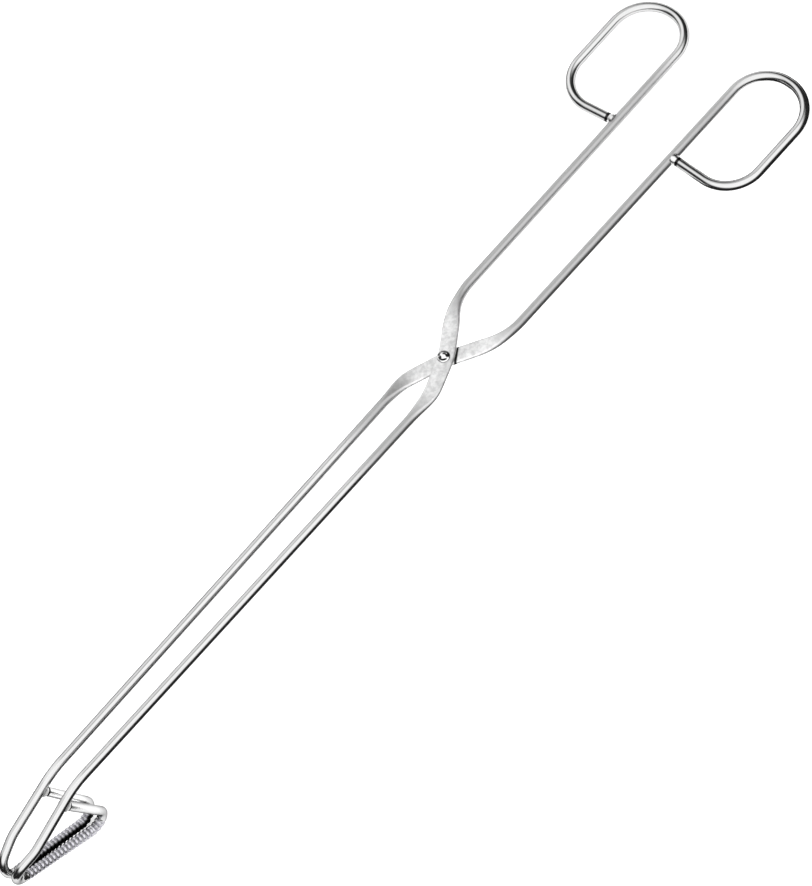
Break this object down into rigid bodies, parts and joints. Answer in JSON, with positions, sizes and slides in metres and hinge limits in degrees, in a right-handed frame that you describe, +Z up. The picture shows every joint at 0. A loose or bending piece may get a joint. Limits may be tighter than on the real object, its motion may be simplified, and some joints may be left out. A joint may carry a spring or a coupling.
{
  "type": "crucible tongs",
  "caption": "Long steel crucible tongs: two riveted crossing rods with closed finger loops and hanging jaw loops that grip between ribbed bars.",
  "frame": {"origin": "middle of the tongs' bounding box in X and Y, on the surface they lie on", "axes": "+X from the jaws to the finger loops, +Y towards the thumb loop, +Z up; the jaws hang down and the tongs lie closed"},
  "size_m": [0.6826, 0.1468, 0.0703],
  "materials": {
    "satin_steel": "satin brushed stainless rod, matte on the pressed flats",
    "bright_steel": "polished domed rivet"
  },
  "bodies": {
    "finger_side": {"finger_arm": "satin_steel", "pivot_rivet": "bright_steel"},
    "thumb_side": {"thumb_arm": "satin_steel"}
  },
  "joints": [
    {"name": "pivot", "type": "hinge", "parent": "finger_side", "child": "thumb_side", "pos_m": [0.07276, 0.00229, 0.031], "axis": [0.106, 0.006, 0.9944], "range_deg": [0, 30]}
  ]
}
